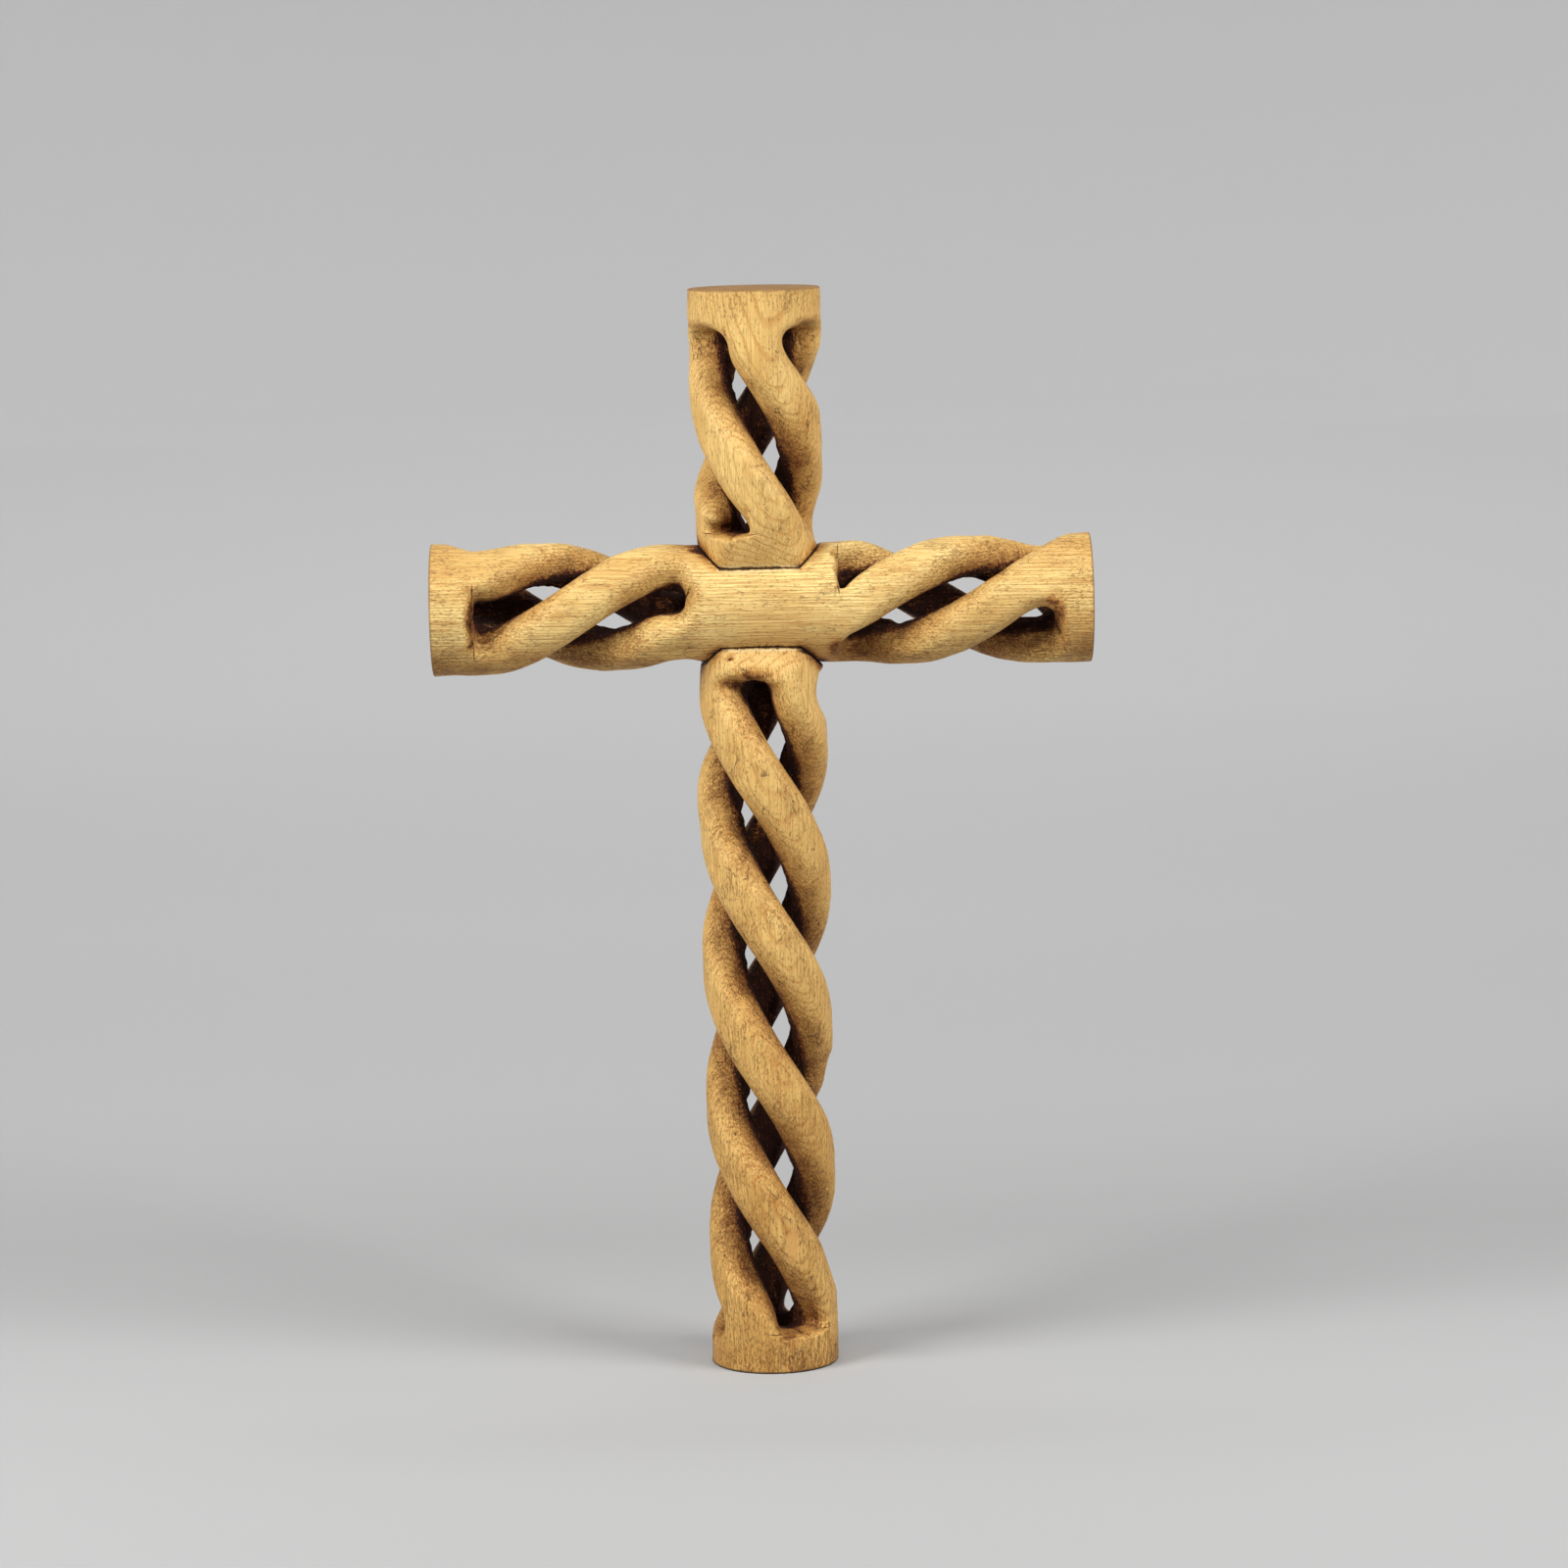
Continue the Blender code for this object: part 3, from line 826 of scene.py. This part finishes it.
# Chips, cuts and stains: degrees, place along, half width, half length, depth and stain.
upright_marks = [
    (-8, 0.2603, 0.0088, 0.0022, 0.0007, 0.78),
    (-38, 0.2568, 0.0048, 0.0026, 0.0009, 0.76),
    (8, 0.2570, 0.0050, 0.0030, 0.0004, 0.50),
    (62, 0.2695, 0.0045, 0.0016, 0.0004, 0.95),
    (80, 0.2625, 0.0045, 0.0030, -0.0013, 0.25),
    (-72, 0.0205, 0.0035, 0.0050, 0.0, 0.55),
    (-34, 0.2659, 0.0016, 0.0008, 0.0006, 0.85),
    (-27, 0.3850, 0.0008, 0.0020, 0.0004, 0.90),
    (-80, 0.3873, 0.0060, 0.0018, 0.0003, 0.70),
    (60, 0.3880, 0.0080, 0.0016, 0.0003, 0.62),
    (-12, 0.3190, 0.0016, 0.0040, 0.0003, 0.55),
    (-4, 0.3090, 0.0008, 0.0026, 0.0003, 0.60),
    (14, 0.0135, 0.0034, 0.0008, 0.0004, 0.62),
    (30, 0.0148, 0.0030, 0.0010, 0.0004, 0.60),
    (90, 0.2500, 0.0120, 0.0060, 0.0016, 0.15),
    (90, 0.1095, 0.0120, 0.0060, 0.0011, 0.15),
    (90, 0.0390, 0.0120, 0.0090, 0.0012, 0.15),
    (-90, 0.2188, 0.0120, 0.0140, -0.0011, 0.0),
    (90, 0.3600, 0.0120, 0.0080, -0.0012, 0.0),
    (42, 0.3430, 0.0090, 0.0160, 0.0, 0.55),
    (32, 0.2660, 0.0040, 0.0024, 0.0002, 0.42),
    (46, 0.2690, 0.0030, 0.0020, 0.0002, 0.95),
    (-78, 0.2668, 0.0040, 0.0022, 0.0, 0.80),
    (18, 0.0486, 0.0018, 0.0075, 0.0003, -0.60),
]
upright = Stave(
    before=SHAFT_LENGTH,
    after=HEAD_LENGTH,
    diameters=UPRIGHT_DIAMETERS,
    waist=UPRIGHT_WAIST,
    pitches=UPRIGHT_PITCHES,
    turn=UPRIGHT_TURN,
    side=1.0,
    joint_radius=JOINT_RADIUS,
    marks=upright_marks,
)
upright.pierce(
    COLLAR,
    SHAFT_LENGTH - UPRIGHT_PLAIN,
    UPRIGHT_GAP,
    [(SIDE_DISH, Tip()), (TORN, Tip()), (Tip(), ARCH)],
)
upright.pierce(
    SHAFT_LENGTH + UPRIGHT_PLAIN,
    upright.length - COLLAR,
    UPRIGHT_GAP,
    [(CHISELLED, Tip()), (Tip(), SWERVED), (Tip(), RECESSED)],
)
bar_space = housing("bar_space", SHOULDER, SHOULDER, 0.0, max(UPRIGHT_DIAMETERS))
carved_upright = notch("carved_upright", carve(upright, 10), bar_space, Matrix())
hollow_shade_and_stain(carved_upright, upright, Matrix(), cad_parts["crossbar"])
upright_wood = carved_wood(
    "upright_wood",
    axes=(0, 1, 2),
    length=(0.0, upright.length),
    wood=UPRIGHT_WOOD,
    pith=UPRIGHT_PITH,
    tilt=0.10,
    ring=UPRIGHT_RING,
    wave=0.0045,
    lines=0.22,
    # Darker towards the foot.
    darker_below=(0.34, 0.34, 0.42),
    seed=0.0,
)
carved_upright.data.materials.clear()
carved_upright.data.materials.append(upright_wood)
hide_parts("upright")
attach(carved_upright, "root")


# Crossbar
# A second, shorter stave turned and pierced like the upright, with its grain running level. Notched
# at its back, it is let into the upright from the front and glued there.
LEFT_LENGTH = 0.1202
RIGHT_LENGTH = 0.1213
BAR_DIAMETERS = [0.0486, 0.0456, 0.0476]
BAR_WAIST = 0.0030
BAR_PITCHES = [0.1550, 0.1560]
BAR_TURN = 19.6
BAR_GAP = 20.0
BAR_PLAIN = (0.02715, 0.02965)
BAR_WOOD = [(0.77, 0.505, 0.168, 1.0), (0.94, 0.715, 0.282, 1.0)]
BAR_PITH = (0.010, -0.10)
BAR_RING = 0.0012
JOINT_GAP = 0.0003

SQUARED = Tip(shift=0.0004, length=0.0050, squareness=3.8, skew=-16.0, lip=0.0028, flare=0.40)
ROUNDED = Tip(length=0.0070, squareness=2.8, skew=20.0, lip=0.0052, flare=0.40)
NOTCHED = Tip(shift=-0.0012, length=0.0040, squareness=4.0, skew=4.0, lip=0.0018, steep=0.0180, flare=0.25)
CHIPPED = Tip(shift=-0.0004, length=0.0060, squareness=2.6, skew=-8.0, lip=0.0040, flare=0.25)
END_ROUND = Tip(shift=0.0014, length=0.0070, squareness=2.8, skew=22.0, lip=0.0044, flare=0.35)

bar_marks = [
    (30, 0.0148, 0.0014, 0.0020, 0.0006, 0.85),
    (-20, 0.0140, 0.0070, 0.0018, 0.0003, 0.55),
    (10, 0.0145, 0.0050, 0.0020, 0.0003, 0.55),
    (-8, 0.0965, 0.0080, 0.0026, 0.0004, 0.42),
    (-60, 0.0905, 0.0050, 0.0040, 0.0003, 0.35),
    (-22, 0.1497, 0.0010, 0.0026, 0.0005, 0.95),
    (-62, 0.1475, 0.0030, 0.0016, 0.0006, 0.75),
    (-48, 0.1530, 0.0022, 0.0010, 0.0004, 0.70),
    (58, 0.1490, 0.0050, 0.0016, 0.0006, 0.75),
    (30, 0.2305, 0.0075, 0.0022, 0.0003, 0.55),
    (-2, 0.2290, 0.0040, 0.0012, 0.0003, 0.65),
    (-38, 0.2080, 0.0030, 0.0015, 0.0004, 0.55),
    (-52, 0.0760, 0.0008, 0.0090, 0.0002, 0.45),
    (-70, 0.1000, 0.0034, 0.0085, 0.0002, 0.95),
    (-86, 0.0960, 0.0050, 0.0100, 0.0, 0.80),
    (4, 0.0150, 0.0090, 0.0024, 0.0002, 0.80),
    (-20, 0.0138, 0.0040, 0.0022, 0.0002, 0.60),
    (-4, 0.2262, 0.0026, 0.0030, 0.0004, 0.85),
    (12, 0.2286, 0.0075, 0.0026, 0.0002, 0.85),
    (34, 0.2274, 0.0022, 0.0028, 0.0004, 0.85),
    (46, 0.1475, 0.0060, 0.0030, 0.0, 0.85),
]
upright_radius = float(upright.radius(upright.joint))
crossbar = Stave(
    before=LEFT_LENGTH,
    after=RIGHT_LENGTH,
    diameters=BAR_DIAMETERS,
    waist=BAR_WAIST,
    pitches=BAR_PITCHES,
    turn=BAR_TURN,
    side=-1.0,
    joint_radius=upright_radius,
    marks=bar_marks,
)
crossbar.pierce(
    COLLAR,
    LEFT_LENGTH - BAR_PLAIN[0],
    BAR_GAP,
    [(Tip(), Tip()), (SQUARED, Tip()), (Tip(), ROUNDED)],
)
crossbar.pierce(
    LEFT_LENGTH + BAR_PLAIN[1],
    crossbar.length - COLLAR,
    BAR_GAP,
    [(NOTCHED, Tip()), (CHIPPED, Tip()), (Tip(), END_ROUND)],
)
upright_space = housing(
    "upright_space", SHOULDER - JOINT_GAP, SHOULDER + JOINT_GAP, JOINT_GAP, max(UPRIGHT_DIAMETERS)
)
upright_space.rotation_euler = (0.0, math.pi / 2, math.pi)
lay = Matrix.Translation((-LEFT_LENGTH, 0.0, SHAFT_LENGTH)) @ Matrix.Rotation(math.pi / 2, 4, "Y")
carved_crossbar = notch("carved_crossbar", carve(crossbar, 20), upright_space, lay)
hollow_shade_and_stain(carved_crossbar, crossbar, lay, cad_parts["upright"])
crossbar_wood = carved_wood(
    "crossbar_wood",
    axes=(1, 2, 0),
    length=(-LEFT_LENGTH, RIGHT_LENGTH),
    wood=BAR_WOOD,
    pith=BAR_PITH,
    tilt=0.010,
    ring=BAR_RING,
    wave=0.0020,
    lines=0.50,
    # Painted shade on the crossbar's underside.
    darker_below=(SHAFT_LENGTH - 0.005, 0.017, 0.58),
    seed=3.0,
)
carved_crossbar.data.materials.clear()
carved_crossbar.data.materials.append(crossbar_wood)
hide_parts("crossbar")
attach(carved_crossbar, "root")
